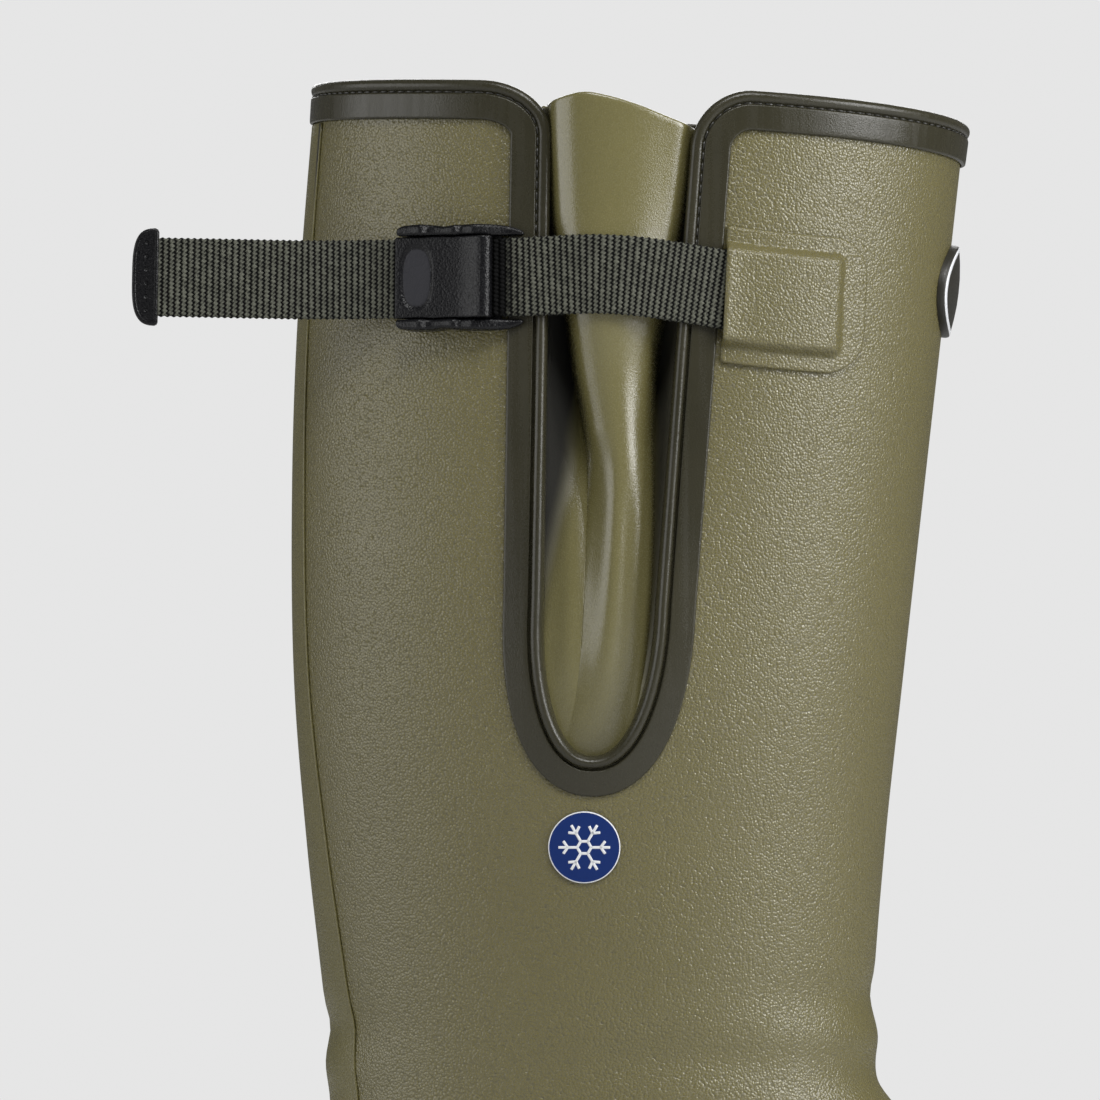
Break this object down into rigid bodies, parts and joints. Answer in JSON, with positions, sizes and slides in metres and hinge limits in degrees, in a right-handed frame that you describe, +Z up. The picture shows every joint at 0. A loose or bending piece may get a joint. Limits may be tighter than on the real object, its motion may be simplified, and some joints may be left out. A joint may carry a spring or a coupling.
{
  "type": "neoprene lined wellington boot",
  "caption": "Tall rubber wellington boot with neoprene lining, a pleated side gusset in a bound slot, and a webbing strap with a lever buckle to fit it to the calf.",
  "frame": {"origin": "on the floor under the middle of the heel, at the heel's resting face", "axes": "+X to the toe, +Y to the inner side of the foot, +Z up along the shaft"},
  "size_m": [0.3389, 0.1189, 0.3996],
  "materials": {
    "sole_rubber": "matte moulded rubber",
    "olive_rubber": "semi-gloss rubber with a fine pebbled grain",
    "foot_bed": "brushed fabric over foam",
    "binding_rubber": "smooth glossy rubber",
    "smooth_rubber": "smooth semi-gloss rubber",
    "webbing": "ribbed woven webbing",
    "buckle_plastic": "satin black plastic",
    "roundel_print": "satin print",
    "badge_rubber": "moulded rubber"
  },
  "bodies": {
    "root": {"outsole": "sole_rubber", "upper": "olive_rubber", "insole": "foot_bed", "edge_binding": "binding_rubber", "gusset": "smooth_rubber", "back_strip": "olive_rubber", "strap": "webbing", "strap_patch": "olive_rubber", "buckle_frame": "buckle_plastic", "buckle_lever": "buckle_plastic", "strap_tip": "buckle_plastic", "roundel": "roundel_print", "front_badge": "badge_rubber"}
  },
  "joints": []
}
